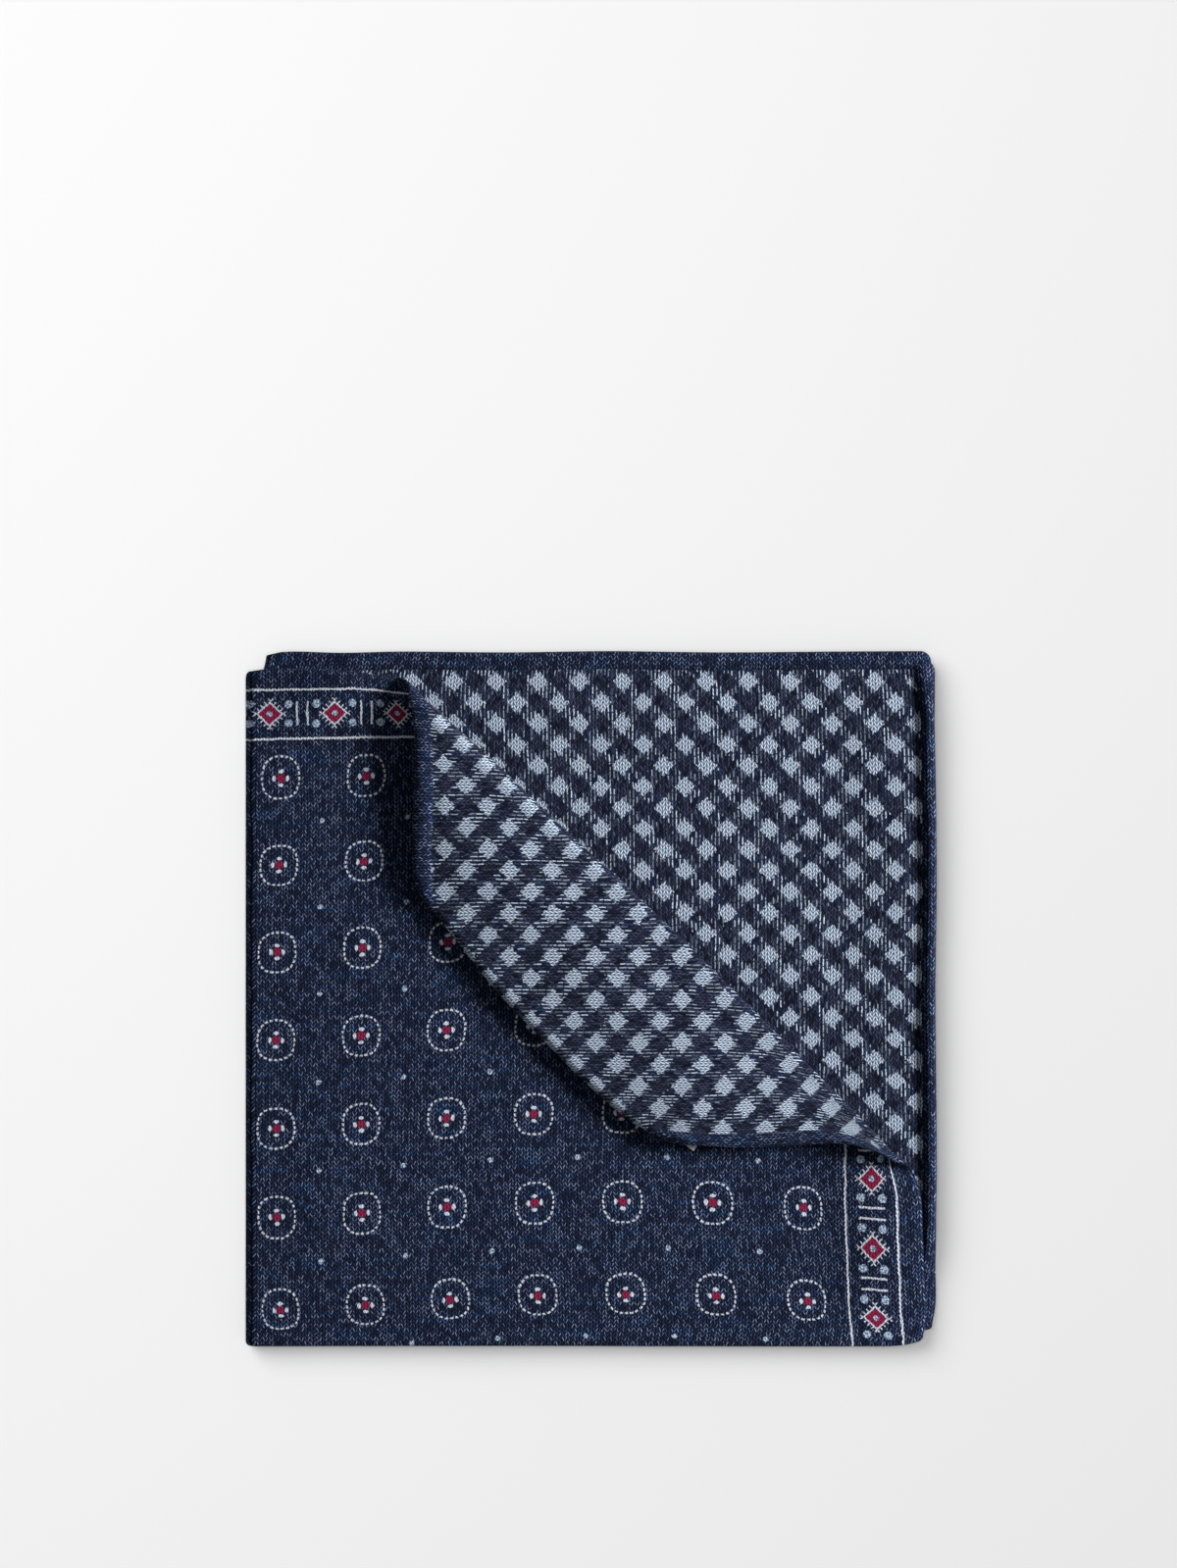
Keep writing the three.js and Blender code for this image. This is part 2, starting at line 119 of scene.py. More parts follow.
# %% Lights: where each one stands, how broad it is and how strong
LIGHTS = [
    {"name": "window", "away": (1.1, 0.2, 0.55), "size": 0.42, "power": 30},
    {"name": "board_wash", "away": (-1, 0.9, 1.3), "size": 1.6, "power": 24.8},
    {"name": "board_top", "away": (0, 0.06, 1.9), "size": 0.8, "power": 12.5},
]
CLOTH_MIDDLE = (83, 83, 0)
SKY_STRENGTH = 0.2
aim = in_scene(*CLOTH_MIDDLE)
lamps = {}
for light in LIGHTS:
    data = bpy.data.lights.new(light["name"], "AREA")
    data.shape = "DISK"
    data.size = light["size"]
    data.energy = light["power"]
    lamp = bpy.data.objects.new(light["name"], data)
    lamp.location = aim + Vector(light["away"])
    lamp.rotation_euler = Vector(light["away"]).to_track_quat("Z", "Y").to_euler()
    bpy.context.scene.collection.objects.link(lamp)
    lamps[light["name"]] = lamp


def shine_on(lamp, *lit):
    group = bpy.data.collections.new(lamp.name + "_shines_on")
    for obj in lit:
        group.objects.link(obj)
    lamp.light_linking.receiver_collection = group


for name in ("board_wash", "board_top"):
    shine_on(lamps[name], table)
bpy.context.scene.view_settings.view_transform = "Standard"
sky = bpy.data.worlds.new("studio")
sky.use_nodes = True
sky.node_tree.nodes["Background"].inputs["Color"].default_value = (1, 1, 1, 1)
sky.node_tree.nodes["Background"].inputs["Strength"].default_value = SKY_STRENGTH
bpy.context.scene.world = sky
print("lights:", [light["name"] for light in LIGHTS])

# %% [markdown]
# ## Reading a curve from a short table
# Folded cloth is never straight. Each uneven line is kept as a short table of a few measured places, and
# this function reads a smooth curve through them, level at both ends.


# %% A smooth curve through a table's rows
def read(rows, place, column, at):
    at = min(max(at, rows[0][place]), rows[-1][place])
    after = next(i for i in range(1, len(rows)) if rows[i][place] >= at)
    start, end = rows[after - 1], rows[after]
    span = end[place] - start[place]
    t = (at - start[place]) / span
    slopes = [0, 0]
    for side, i in enumerate((after - 1, after)):
        if 0 < i < len(rows) - 1:
            rise = rows[i + 1][column] - rows[i - 1][column]
            slopes[side] = rise / (rows[i + 1][place] - rows[i - 1][place])
    ease = t * t * (3 - 2 * t)
    return start[column] + (end[column] - start[column]) * ease + span * t * (1 - t) * (
        slopes[0] * (1 - t) - slopes[1] * t)


def smooth(value, start, end):
    t = min(max((value - start) / (end - start), 0), 1)
    return t * t * (3 - 2 * t)


def mix(a, b, t):
    return a + (b - a) * t


# %% [markdown]
# ## The cloth laid flat
# The square is 330 mm a side. A grid is enough to start from, but folds and hems need closer rows than the
# open field does, so extra rows are cut in with `bisect_plane`: round the two straight folds, along the
# hems, and on the slant along the roll and the tuck of the turned corner. The grid is then extruded into a
# slab, so that the cloth gets its two faces.

# %% Sizes of the flat cloth and its two straight folds
SIDE = 330
HALF = SIDE / 2
THICK = 1
CORNER_ROUND = 2.4
LAYER_GAP = 0.4
PAIR_RADIUS = (THICK + LAYER_GAP) / 2
STACK_RADIUS = THICK + LAYER_GAP
STACK_HALF = STACK_RADIUS + PAIR_RADIUS + THICK / 2
FIRST_FOLD = 2.3
SECOND_FOLD = 2
TOP_MIDDLE = 2 * STACK_HALF - THICK / 2
TOP_LEFT_EDGE = SECOND_FOLD + math.pi * STACK_RADIUS / 2 - STACK_HALF
TOP_LOWER_EDGE = FIRST_FOLD + math.pi * PAIR_RADIUS / 2 - PAIR_RADIUS - THICK / 2
MIRROR_SUM = 204.3

# %% The rolled hem's section, from the cloth's edge inwards
HEM_WIDTH = 4.35
HEM = [
    {"inward": 0, "face": -0.25, "back": -0.6},
    {"inward": 0.3, "face": 0.12, "back": -0.95},
    {"inward": 0.8, "face": 0.36, "back": -1.16},
    {"inward": 1.6, "face": 0.5, "back": -1.27},
    {"inward": 2.5, "face": 0.5, "back": -1.24},
    {"inward": 3.3, "face": 0.5, "back": -1.08},
    {"inward": 3.9, "face": 0.5, "back": -0.82},
    {"inward": HEM_WIDTH, "face": 0.5, "back": -0.4},
    {"inward": 4.9, "face": 0.5, "back": -0.3},
    {"inward": 6.2, "face": 0.5, "back": -0.5},
]

# %% A grid, with closer rows where the cloth will bend
CELLS = 150
FOLD_STEPS = 8
ON_ROW = 0.04
flat = bmesh.new()
bmesh.ops.create_grid(flat, x_segments=CELLS, y_segments=CELLS, size=HALF)


def add_row(faces, at, direction):
    parts = {item for face in faces for item in (face, *face.edges, *face.verts)}
    bmesh.ops.bisect_plane(flat, geom=list(parts), dist=ON_ROW, plane_co=at, plane_no=direction)


for row in HEM[1:]:
    line = HALF - row["inward"]
    for direction in (Vector((1, 0, 0)), Vector((0, 1, 0))):
        for side in (-line, line):
            add_row(flat.faces, direction * side, direction)
for fold, radius, direction in (
    (SECOND_FOLD, STACK_RADIUS, Vector((1, 0, 0))),
    (FIRST_FOLD, PAIR_RADIUS, Vector((0, 1, 0))),
):
    for i in range(FOLD_STEPS + 1):
        bend = math.pi * radius / 2 * (2 * i / FOLD_STEPS - 1)
        add_row(flat.faces, direction * (fold + bend), direction)
print("faces after the hems and straight folds:", len(flat.faces))

# %% Rows on the slant, along the turned corner's roll and tuck
SLANT_ROWS = [
    {"start": 139.5, "end": 149.5, "step": 0.7},
    {"start": 174, "end": 192.5, "step": 0.8},
]
slant = Vector((1, 1, 0)).normalized()
to_top_layer = (TOP_LEFT_EDGE + TOP_LOWER_EDGE) / math.sqrt(2)
for strip in SLANT_ROWS:
    row = strip["start"]
    while row < strip["end"]:
        at = row + to_top_layer
        near = [
            face for face in flat.faces
            if min(v.co.x for v in face.verts) > 0 and min(v.co.y for v in face.verts) > 0
            and min(v.co.dot(slant) for v in face.verts) < at < max(v.co.dot(slant) for v in face.verts)
        ]
        add_row(near, slant * at, slant)
        row += strip["step"]
print("faces after the slanting rows:", len(flat.faces))

# %% The slab, marked by height: the gingham face at -1, the print face at 1, and the edge between them
made = bmesh.ops.extrude_face_region(flat, geom=flat.faces[:], use_keep_orig=True)
print_verts = {item for item in made["geom"] if isinstance(item, bmesh.types.BMVert)}
for vert in flat.verts:
    vert.co.z = 1 if vert in print_verts else -1
bmesh.ops.recalc_face_normals(flat, faces=flat.faces)
print("slab:", len(flat.verts), "points,", len(flat.faces), "faces")

# %% [markdown]
# ## How the cloth lies
# The first fold brings the bottom half up behind the top half, and the second brings the left half round
# behind the right one. The layers are called one, on the table, to four, on top. None of their edges lie
# quite on each other, as always with cloth that is folded by hand, and these tables hold where each lies.

# %% Where the edges of the four layers lie
RIGHT_EDGE = [
    {"up": 0, "one": 165.4, "two": 165.4, "three": 163, "four": 163},
    {"up": 6, "one": 166.3, "two": 166, "three": 164.2, "four": 163.8},
    {"up": 14, "one": 166.3, "two": 166.1, "three": 164.4, "four": 163.4},
    {"up": 23, "one": 166.1, "two": 166.3, "three": 165.9, "four": 163},
    {"up": 34, "one": 165.9, "two": 166.3, "three": 166.2, "four": 162.5},
    {"up": 42, "one": 165.8, "two": 166.1, "three": 166.3, "four": 161.9},
    {"up": 60, "one": 165.6, "two": 166, "three": 166.2, "four": 162.8},
    {"up": 85, "one": 165.7, "two": 165.8, "three": 166, "four": 162.8},
    {"up": 112, "one": 165.4, "two": 165.9, "three": 166.3, "four": 162.8},
    {"up": 140, "one": 165.5, "two": 165.8, "three": 166, "four": 162.8},
    {"up": 158, "one": 165.8, "two": 166, "three": 165.5, "four": 162.8},
    {"up": 168, "one": 165.9, "two": 166, "three": 164.8, "four": 162.8},
]
TOP_EDGE = [
    {"along": 0, "one": 162.4, "two": 166.2, "three": 166.2, "four": 162.4},
    {"along": 6, "one": 162.6, "two": 166.6, "three": 167.2, "four": 163.1},
    {"along": 20, "one": 163, "two": 166.4, "three": 166.9, "four": 162.9},
    {"along": 34, "one": 162.8, "two": 166.5, "three": 167.2, "four": 162.7},
    {"along": 60, "one": 163.4, "two": 166.1, "three": 167, "four": 162.8},
    {"along": 85, "one": 163.8, "two": 166.3, "three": 167.3, "four": 162.8},
    {"along": 112, "one": 164.1, "two": 165.8, "three": 167, "four": 162.8},
    {"along": 140, "one": 164.8, "two": 165.5, "three": 167.2, "four": 162.8},
    {"along": 165, "one": 165.2, "two": 165, "three": 167.3, "four": 162.8},
]
LEFT_FOLD = [
    {"up": 0, "outer": 0, "inner": 0},
    {"up": 25, "outer": 0, "inner": 2.4},
    {"up": 110, "outer": 0, "inner": 2.4},
    {"up": 150, "outer": 0, "inner": 1.9},
    {"up": 160, "outer": 0, "inner": 2.1},
    {"up": 168, "outer": 0, "inner": 3.7},
]
BOTTOM_FOLD = [
    {"along": 0, "upper": 0, "lower": 0},
    {"along": 60, "upper": 0.1, "lower": 0.5},
    {"along": 110, "upper": 0, "lower": 1.3},
    {"along": 150, "upper": 0, "lower": 2.3},
    {"along": 158, "upper": 0.2, "lower": 2.8},
    {"along": 166, "upper": 1.6, "lower": 3.6},
]
HEM_LIFT = {"one": 0, "two": 0.95, "three": 0.95, "four": 2.2}
HEM_LIFT_STARTS = 138
HEM_LIFT_FULL = 157
HEM_FADES_OVER = 26


# %% Two folds for any point of the flat cloth
def fold_double(run, out, radius):
    quarter = radius * math.pi / 2
    if abs(run) > quarter:
        return abs(run) - quarter, (radius + out) * math.copysign(1, run)
    turn = run / radius
    return -(radius + out) * math.cos(turn), (radius + out) * math.sin(turn)


def layer_of(a, b):
    if a > SECOND_FOLD:
        return "four" if b > FIRST_FOLD else "three"
    return "one" if b > FIRST_FOLD else "two"


def true_right(layer):
    return HALF + STACK_HALF - math.pi * STACK_RADIUS / 2 + (
        -SECOND_FOLD if layer in ("three", "four") else SECOND_FOLD)


def true_top(layer):
    return HALF + PAIR_RADIUS + THICK / 2 - math.pi * PAIR_RADIUS / 2 + (
        -FIRST_FOLD if layer in ("one", "four") else FIRST_FOLD)


def slip(layer, across, up):
    across, up = min(max(across, 0), SIDE), min(max(up, 0), SIDE)
    right = read(RIGHT_EDGE, "up", layer, up) - true_right(layer)
    top = read(TOP_EDGE, "along", layer, across) - true_top(layer)
    left = read(LEFT_FOLD, "up", "inner" if layer in ("two", "three") else "outer", up)
    bottom = read(BOTTOM_FOLD, "along", "upper" if layer in ("three", "four") else "lower", across)
    return (
        mix(left, right, min(across / true_right(layer), 1)),
        mix(bottom, top, min(up / true_top(layer), 1)),
    )


def hem_lift(layer, across, up):
    near_top = smooth(up, HEM_LIFT_STARTS, HEM_LIFT_FULL) * smooth(across, 0, HEM_FADES_OVER)
    near_right = smooth(across, HEM_LIFT_STARTS, HEM_LIFT_FULL) * smooth(up, 0, HEM_FADES_OVER)
    return HEM_LIFT[layer] * (1 - (1 - near_top) * (1 - near_right))


# %% [markdown]
# ## The turned corner
# A flat fold would mirror the corner in a line. The real one rolls over softly, loosest at its upper left
# end, lies back over the stack, and is tucked under along a curve, with its tip pointing back to the roll.
# Each point of the cloth is followed through those stretches by how far it has run past the start of the
# roll.

# %% The roll, the tuck and the drift of the hems
TUCK_RADIUS = 1.3
TIP_MIDDLE = 0.4 + THICK
TUCK_TOP = TIP_MIDDLE + 2 * TUCK_RADIUS
TIP_EASE = 0.88
FLAP_SWELL = 0.9
ROLL = [
    {"along": -88, "radius": 2.2},
    {"along": -76, "radius": 2.7},
    {"along": -60, "radius": 2.7},
    {"along": -40, "radius": 2.4},
    {"along": -18, "radius": 1.8},
    {"along": 10, "radius": 1.5},
    {"along": 88, "radius": 1.5},
]
TUCK = [
    {"along": -62, "reach": 32.5},
    {"along": -51, "reach": 35.8},
    {"along": -42, "reach": 38.2},
    {"along": -33, "reach": 39.4},
    {"along": -18, "reach": 41.5},
    {"along": 0, "reach": 42.8},
    {"along": 15, "reach": 44},
    {"along": 31, "reach": 44.3},
    {"along": 40, "reach": 43},
    {"along": 47, "reach": 40.2},
    {"along": 60, "reach": 33},
]
FLAP_HEMS = [
    {"run": 0, "lower": 0, "left": 0},
    {"run": 3, "lower": 0.3, "left": 0},
    {"run": 5, "lower": 1.8, "left": 0},
    {"run": 9, "lower": 5.7, "left": 0},
    {"run": 13, "lower": 7.6, "left": 0},
    {"run": 16, "lower": 8.3, "left": -0.1},
    {"run": 21, "lower": 8.1, "left": -0.3},
    {"run": 27, "lower": 7.5, "left": -0.7},
    {"run": 34, "lower": 7.3, "left": -1},
    {"run": 39, "lower": 7.8, "left": -0.5},
    {"run": 44, "lower": 8.2, "left": 0.3},
    {"run": 65, "lower": 5, "left": 0.4},
    {"run": 90, "lower": 3, "left": 0.4},
]
HEM_DRIFT_FADES_OVER = 60
ROLL_DRAWN = [
    {"along": -88, "inward": 2.8},
    {"along": -74, "inward": 2.2},
    {"along": -58, "inward": 1.4},
    {"along": -30, "inward": 1},
    {"along": -12, "inward": 0.4},
    {"along": 10, "inward": 0.1},
    {"along": 70, "inward": 0},
    {"along": 88, "inward": -0.4},
]
ROLL_DRAWN_REACH = 8.5
LOWER_END = {"across": 162, "up": 44, "rise": 2.3, "left": 3.3, "reach": 5.6}
OVER_LABEL = {"across": 107, "up": 51.3, "rise": 1.1, "reach": 13}


# %% Stretches of the turned corner, and where they put a point
def corner_runs(across, up):
    along = (across - up) / math.sqrt(2)
    radius = read(ROLL, "along", "radius", along)
    length = math.pi * radius
    start = MIRROR_SUM / math.sqrt(2) - length / 2
    width = read(TUCK, "along", "reach", along) - length / 2 - TUCK_RADIUS - THICK / 2
    roll = (across + up) / math.sqrt(2) - start
    return {
        "along": along, "radius": radius, "start": start, "width": width, "roll": roll,
        "flap": roll - length, "tuck": roll - length - width,
        "tip": roll - length - width - math.pi * TUCK_RADIUS,
    }


def turn_corner(runs, out):
    radius, width = runs["radius"], runs["width"]
    reach, height = runs["roll"], out
    if runs["tip"] > 0:
        reach = runs["tip"] * TIP_EASE - width
        height = TIP_MIDDLE + out
    elif runs["tuck"] > 0:
        turn = runs["tuck"] / TUCK_RADIUS
        reach = -width - (TUCK_RADIUS - out) * math.sin(turn)
        height = TUCK_TOP - TUCK_RADIUS + (TUCK_RADIUS - out) * math.cos(turn)
    elif runs["flap"] > 0:
        reach = -runs["flap"]
        swell = FLAP_SWELL * math.sin(math.pi * runs["flap"] / width) ** 2
        height = mix(2 * radius, TUCK_TOP, smooth(runs["flap"], 0, width)) + swell - out
    elif runs["roll"] > 0:
        turn = runs["roll"] / radius
        reach = (radius - out) * math.sin(turn)
        height = radius - (radius - out) * math.cos(turn)
    across = runs["start"] + reach
    return Vector((
        (across + runs["along"]) / math.sqrt(2),
        (across - runs["along"]) / math.sqrt(2),
        TOP_MIDDLE + height,
    ))


def flap_slip(across, up, run):
    from_lower = min(max(1 - (true_right("four") - across) / HEM_DRIFT_FADES_OVER, 0), 1)
    from_left = min(max(1 - (true_top("four") - up) / HEM_DRIFT_FADES_OVER, 0), 1)
    return (
        from_left ** 2 * read(FLAP_HEMS, "run", "left", run),
        from_lower ** 2 * read(FLAP_HEMS, "run", "lower", run),
    )


def hump(spot, table):
    away = math.hypot(spot.x - table["across"], spot.y - table["up"]) / table["reach"]
    return math.exp(-away * away)


# %% [markdown]
# ## Soft unevenness
# Pressed cloth still lies in faint swells, and a rolled hem is thicker in some places than in others. Both
# come from Blender's own noise, which gives the same swells on every run. The layers share one swell, so
# that they never cross.

# %% Swells of the stack and of the hems
SWELL = 0.32
SWELL_SPACING = 34
FINER_SWELL = {"times": 2.7, "share": 0.4}
HEM_UNEVEN = 0.22
HEM_SPACING = 13
NOISE_SLICE = {"swell": 3.7, "finer": 8.1, "hem": 5.5}


def noise_over(a, b, spacing, times, slice_name):
    return noise.noise(Vector((a / spacing * times, b / spacing * times, NOISE_SLICE[slice_name])))


def swell(across, up, height):
    wave = noise_over(across, up, SWELL_SPACING, 1, "swell")
    finer = noise_over(across, up, SWELL_SPACING, FINER_SWELL["times"], "finer")
    return SWELL * (wave + FINER_SWELL["share"] * finer) * min(max(height / TOP_MIDDLE, 0), 1)


def hem_unevenness(a, b):
    return 1 + HEM_UNEVEN * noise_over(a, b, HEM_SPACING, 1, "hem")


# %% A point of the flat slab, laid where the folded cloth has it
def lay(a, b, out):
    layer = layer_of(a, b)
    up, pair_out = fold_double(b - FIRST_FOLD, out, PAIR_RADIUS)
    across, height = fold_double(a - SECOND_FOLD, pair_out, STACK_RADIUS)
    spot = Vector((across + STACK_HALF, up + PAIR_RADIUS + THICK / 2, height + STACK_HALF))
    if layer != "four":
        right, rise = slip(layer, spot.x, spot.y)
        lift = hem_lift(layer, spot.x, spot.y) + swell(spot.x, spot.y, spot.z)
        return spot + Vector((right, rise, lift))
    runs = corner_runs(spot.x, spot.y)
    hem_right, hem_rise = flap_slip(spot.x, spot.y, runs["roll"])
    plain = turn_corner(runs, out) if runs["roll"] > 0 else spot
    right, rise = slip(layer, plain.x, plain.y)
    lift = hem_lift(layer, plain.x, plain.y) + swell(plain.x, plain.y, TOP_MIDDLE)
    laid = plain + Vector((right + hem_right, rise + hem_rise, lift))
    beyond = (plain.x + plain.y - MIRROR_SUM) / math.sqrt(2) / ROLL_DRAWN_REACH
    drawn = read(ROLL_DRAWN, "along", "inward", runs["along"]) * math.exp(-beyond * beyond) / math.sqrt(2)
    rounder = Vector((-LOWER_END["left"], LOWER_END["rise"], 0)) * hump(plain, LOWER_END)
    laid += Vector((-drawn, -drawn, 0)) + rounder
    if runs["flap"] > 0:
        laid.z += OVER_LABEL["rise"] * hump(laid, OVER_LABEL)
    return laid


# %% [markdown]
# ## How full the hem is
# A hem is round where it lies free and flat where something presses on it: in a fold, between two layers,
# in the crease of the turned corner and on its tucked tip. The right hem of layer three lies quite free. It
# is the fullest of them, and a little narrower than the others away from its corner.

# %% How much of its full roundness the hem keeps, and how wide it is
LOWER_PAIR_HEM = 0.6
TUCKED_HEM = 0.25
TUCKED_BY = 2
CREASED_HEM = 0.5
CREASED_OVER = 6
HEM_FLATTENED = 0.12
OPEN_HEM = 1.45
OPENS_PAST_ROLL = (8, 20)
OPENS_ON_FLAP = (2, 14)
CLOSES_BEFORE_TUCK = 8
RIGHT_HEM = {"narrower": 0.76, "fuller": 2.3, "from_corner": 5, "over": 10, "from_fold": 20}


def is_right_hem(a, b):
    return layer_of(a, b) == "three" and abs(a) > abs(b)


def past_corner(b):
    start = RIGHT_HEM["from_corner"]
    return smooth(HALF - abs(b), start, start + RIGHT_HEM["over"])


def inward_of(a, b):
    inward = HALF - max(abs(a), abs(b))
    return inward / mix(1, RIGHT_HEM["narrower"], past_corner(b)) if is_right_hem(a, b) else inward


def hem_fullness(a, b):
    from_fold = abs(b - FIRST_FOLD) if abs(a) > abs(b) else abs(a - SECOND_FOLD)
    pair = mix(LOWER_PAIR_HEM, 1, smooth(a - SECOND_FOLD, -THICK, THICK))
    full = pair * mix(HEM_FLATTENED, 1, smooth(from_fold, 0, HEM_FADES_OVER)) * hem_unevenness(a, b)
    if is_right_hem(a, b):
        start = RIGHT_HEM["from_fold"]
        fuller = mix(RIGHT_HEM["fuller"], OPEN_HEM, 1 - past_corner(b))
        full *= mix(1, fuller, smooth(from_fold, start, start + RIGHT_HEM["over"]))
    elif layer_of(a, b) == "three":
        full *= mix(1, OPEN_HEM, smooth(a + abs(b) - MIRROR_SUM, *OPENS_PAST_ROLL))
    elif layer_of(a, b) == "four":
        runs = corner_runs(a - TOP_LEFT_EDGE, b - TOP_LOWER_EDGE)
        opened = smooth(runs["flap"], *OPENS_ON_FLAP) * (1 - smooth(runs["tuck"], -CLOSES_BEFORE_TUCK, 0))
        creased = smooth(runs["roll"], -CREASED_OVER, 0) * (1 - smooth(runs["flap"], 0, CREASED_OVER))
        tucked = smooth(runs["tip"], -math.pi * TUCK_RADIUS, TUCKED_BY)
        full *= mix(1, OPEN_HEM, opened)
        full *= mix(1, TUCKED_HEM, tucked) * mix(1, CREASED_HEM, creased)
    return full


# %% The cloth's outline with its corners rounded, and its two faces with the hem on them
def round_corner(a, b):
    straight = HALF - CORNER_ROUND
    over_a, over_b = abs(a) - straight, abs(b) - straight
    if over_a <= 0 or over_b <= 0:
        return a, b
    shrink = max(over_a, over_b) / math.hypot(over_a, over_b)
    return math.copysign(straight + over_a * shrink, a), math.copysign(straight + over_b * shrink, b)


def out_from_middle(a, b, is_print):
    inward = inward_of(a, b)
    if inward > HEM[-1]["inward"]:
        return THICK / 2 if is_print else -THICK / 2
    if is_print:
        return read(HEM, "inward", "face", inward)
    back = read(HEM, "inward", "back", inward)
    return (back + THICK / 2) * hem_fullness(a, b) - THICK / 2


# %% [markdown]
# ## The patterns, laid on the cloth
# A print never sits square on the cloth. The rows of rounds bow upwards in the middle, and the columns lean
# a little, because the cloth was pulled when it was printed and pulled again when it was folded. The UV map
# called `print` holds the printer's own millimetres: straight there, bowed on the cloth. The map called
# `gingham` does the same for the bias check, and `weave` is simply the flat cloth.

# %% Where the printer's straight rows and columns lie on the folded cloth
PRINT_ACROSS = [
    {"cloth": 0, "print": 0},
    {"cloth": 7.5, "print": 7.5},
    {"cloth": 48.4, "print": 49.5},
    {"cloth": 90.6, "print": 91.5},
    {"cloth": 112.3, "print": 112.5},
    {"cloth": 134.3, "print": 133.5},
    {"cloth": 144.1, "print": 144.1},
    {"cloth": 163.4, "print": 163.4},
]
PRINT_UP = [
    {"cloth": 0, "print": 0},
    {"cloth": 8.7, "print": 9.5},
    {"cloth": 31.2, "print": 30.5},
    {"cloth": 52.5, "print": 51.5},
    {"cloth": 94.9, "print": 93.5},
    {"cloth": 136.6, "print": 135.5},
    {"cloth": 146.3, "print": 144.2},
    {"cloth": 157.9, "print": 156.5},
    {"cloth": 162.8, "print": 161.4},
]
PRINT_BOW = [
    {"across": 0, "rise": -0.1},
    {"across": 27.7, "rise": 1.06},
    {"across": 48.4, "rise": 2.5},
    {"across": 69.7, "rise": 3.5},
    {"across": 90.6, "rise": 3.8},
    {"across": 112.3, "rise": 3.5},
    {"across": 134.3, "rise": 2.3},
    {"across": 163, "rise": 0.8},
]
PRINT_LEAN = [
    {"up": 0, "right": 1.9},
    {"up": 9, "right": 1.1},
    {"up": 31, "right": 0.2},
    {"up": 53, "right": 0},
    {"up": 74, "right": 0},
    {"up": 116, "right": 0.7},
    {"up": 163, "right": 1.6},
]
BOW_AT_TOP = 0.35
BOW_FADES = (110, 148)


def along_table(rows, at):
    ends = min(max(at, rows[0]["cloth"]), rows[-1]["cloth"])
    after = next(i for i in range(1, len(rows)) if rows[i]["cloth"] >= ends)
    start, end = rows[after - 1], rows[after]
    t = (ends - start["cloth"]) / (end["cloth"] - start["cloth"])
    return mix(start["print"], end["print"], t) + at - ends


def print_place(a, b):
    across, up = a - TOP_LEFT_EDGE, b - TOP_LOWER_EDGE
    if layer_of(a, b) == "four":
        right, rise = slip("four", across, up)
        across, up = across + right, up + rise
    bow = read(PRINT_BOW, "across", "rise", abs(across)) * mix(1, BOW_AT_TOP, smooth(abs(up), *BOW_FADES))
    lean = read(PRINT_LEAN, "up", "right", abs(up))
    return along_table(PRINT_ACROSS, across - lean), along_table(PRINT_UP, up - bow)


# %% Where the bias check lies, on layer three and on the turned corner
CHECK = 7.2
CHECK_ON_THREE = {"across": 110.92, "up": 109.43, "check": 7.15}
CHECK_ON_FLAP = {"across": 84.63, "up": 94, "check": 7.31}


def gingham_place(a, b):
    across, up = a - TOP_LEFT_EDGE, b - TOP_LOWER_EDGE
    if layer_of(a, b) == "four":
        runs = corner_runs(across, up)
        hem_right, hem_rise = flap_slip(across, up, runs["roll"])
        across, up = MIRROR_SUM - up + hem_right, MIRROR_SUM - across + hem_rise
        origin = CHECK_ON_FLAP
    else:
        up = abs(b - FIRST_FOLD) - math.pi * PAIR_RADIUS / 2 + PAIR_RADIUS + THICK / 2
        right, rise = slip("three", across, up)
        across, up = across + right, up + rise
        origin = CHECK_ON_THREE
    across, up = across - origin["across"], up - origin["up"]
    scale = CHECK / origin["check"] / math.sqrt(2)
    stripes = ((across + up) * scale, (across - up) * scale)
    return stripes if origin is CHECK_ON_THREE else stripes[::-1]


# %% Lay the maps on the flat slab, face by face
PRINT_FACE, GINGHAM_FACE = 0, 1
BEYOND_PRINT = 400
UNDERSIDE = -0.9
weave_map = flat.loops.layers.uv.new("weave")
print_map = flat.loops.layers.uv.new("print")
gingham_map = flat.loops.layers.uv.new("gingham")
for face in flat.faces:
    middle = face.calc_center_median()
    is_hem = inward_of(middle.x, middle.y) < HEM_WIDTH
    is_print = middle.z > UNDERSIDE
    shows_gingham = middle.z < UNDERSIDE and not is_hem
    face.material_index = GINGHAM_FACE if shows_gingham else PRINT_FACE
    face.smooth = True
    for loop in face.loops:
        a, b = loop.vert.co.x, loop.vert.co.y
        loop[weave_map].uv = (a, b)
        loop[gingham_map].uv = gingham_place(a, b) if shows_gingham else (0, 0)
        loop[print_map].uv = print_place(a, b) if is_print else (BEYOND_PRINT + a, BEYOND_PRINT + b)
print("gingham faces:", sum(face.material_index == GINGHAM_FACE for face in flat.faces))

# %% Fold the slab
for vert in flat.verts:
    a, b = vert.co.x, vert.co.y
    out = out_from_middle(a, b, vert.co.z > 0)
    vert.co = in_scene(*lay(*round_corner(a, b), out))
bmesh.ops.recalc_face_normals(flat, faces=flat.faces)
cloth_data = bpy.data.meshes.new("cloth")
flat.to_mesh(cloth_data)
flat.free()
cloth = bpy.data.objects.new("cloth", cloth_data)
bpy.context.scene.collection.objects.link(cloth)
print("folded cloth, mm:", [round(v / MM, 1) for v in cloth.dimensions])

